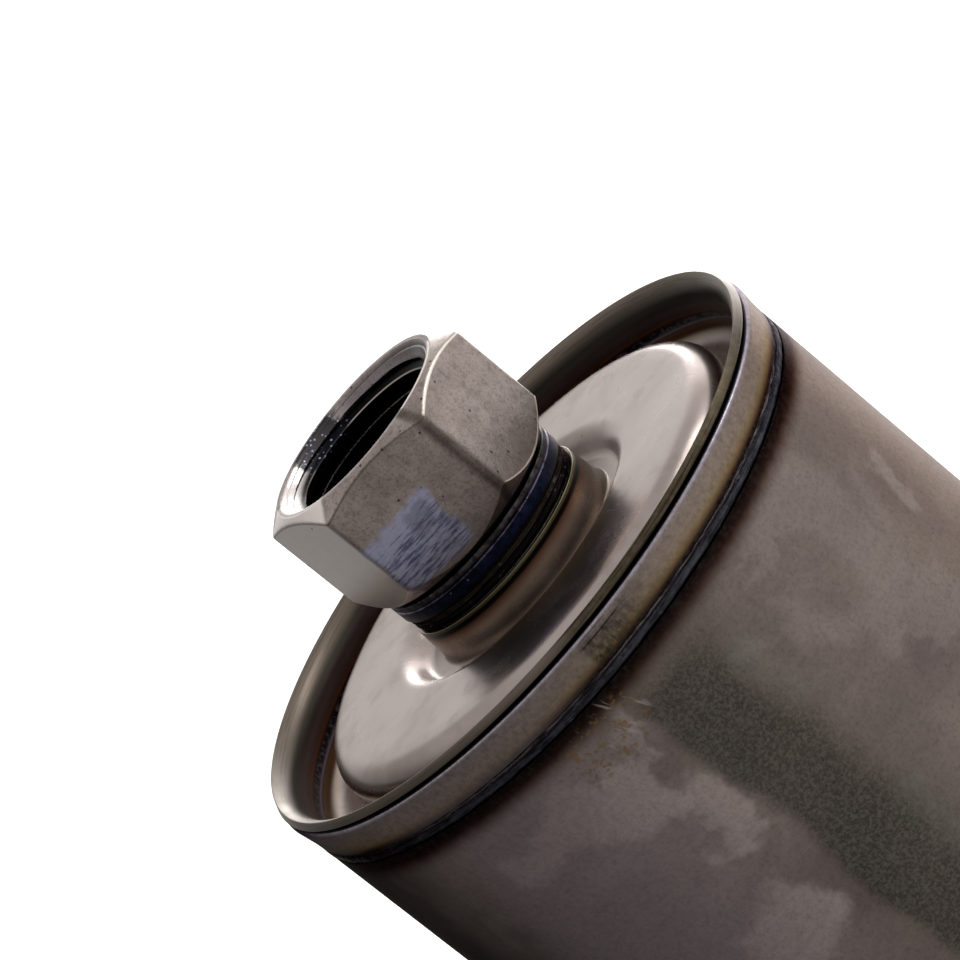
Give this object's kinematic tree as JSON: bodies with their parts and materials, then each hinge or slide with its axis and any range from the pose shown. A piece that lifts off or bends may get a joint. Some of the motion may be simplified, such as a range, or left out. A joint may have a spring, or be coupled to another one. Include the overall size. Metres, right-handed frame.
{
  "type": "fuel filter",
  "caption": "Inline canister fuel filter: welded bare-steel can with a recessed end cap, female hex port fittings at both ends and a sprung pleated element inside.",
  "frame": {"origin": "centre of the outlet port's flat end face, on which the filter stands", "axes": "+Z along the can from the outlet port to the inlet port; +X through a wrench flat of both ports"},
  "size_m": [0.0564, 0.0564, 0.139],
  "materials": {
    "can_steel": "bare drawn steel, satin, with patchy oxide and fine grain",
    "cap_steel": "bare pressed steel, satin",
    "weld_steel": "heat-tinted seam weld",
    "port_steel": "machined steel, satin, lightly marked",
    "plated_steel": "tin-plated sheet, satin",
    "spring_steel": "drawn spring wire, satin",
    "rubber_seal": "matt moulded nitrile",
    "potting_resin": "satin cured plastisol",
    "filter_paper": "matt resin-treated paper",
    "band_thread": "matt adhesive-soaked thread"
  },
  "bodies": {
    "housing": {"can_shell": "can_steel", "inlet_end_cap": "cap_steel", "rim_seam_weld": "weld_steel", "inlet_port_fitting": "port_steel", "inlet_weld_ring": "weld_steel", "outlet_port_fitting": "port_steel", "outlet_weld_ring": "weld_steel", "outlet_seat_tube": "plated_steel", "spring_baffle": "plated_steel", "coil_spring": "spring_steel"},
    "element": {"outlet_end_disc": "plated_steel", "inlet_end_disc": "plated_steel", "outlet_grommet": "rubber_seal", "outlet_potting": "potting_resin", "inlet_potting": "potting_resin", "pleated_media": "filter_paper", "media_seam_clip": "plated_steel", "centre_tube": "plated_steel", "pleat_thread_band_1": "band_thread", "pleat_thread_band_2": "band_thread", "pleat_thread_band_3": "band_thread"}
  },
  "joints": [
    {"name": "element_float", "type": "slide", "parent": "housing", "child": "element", "axis": [0, 0, 1], "range_m": [0, 0.0015], "stiffness_N_per_m": 1500, "springref_m": -0.006, "deforming": ["coil_spring"]}
  ]
}
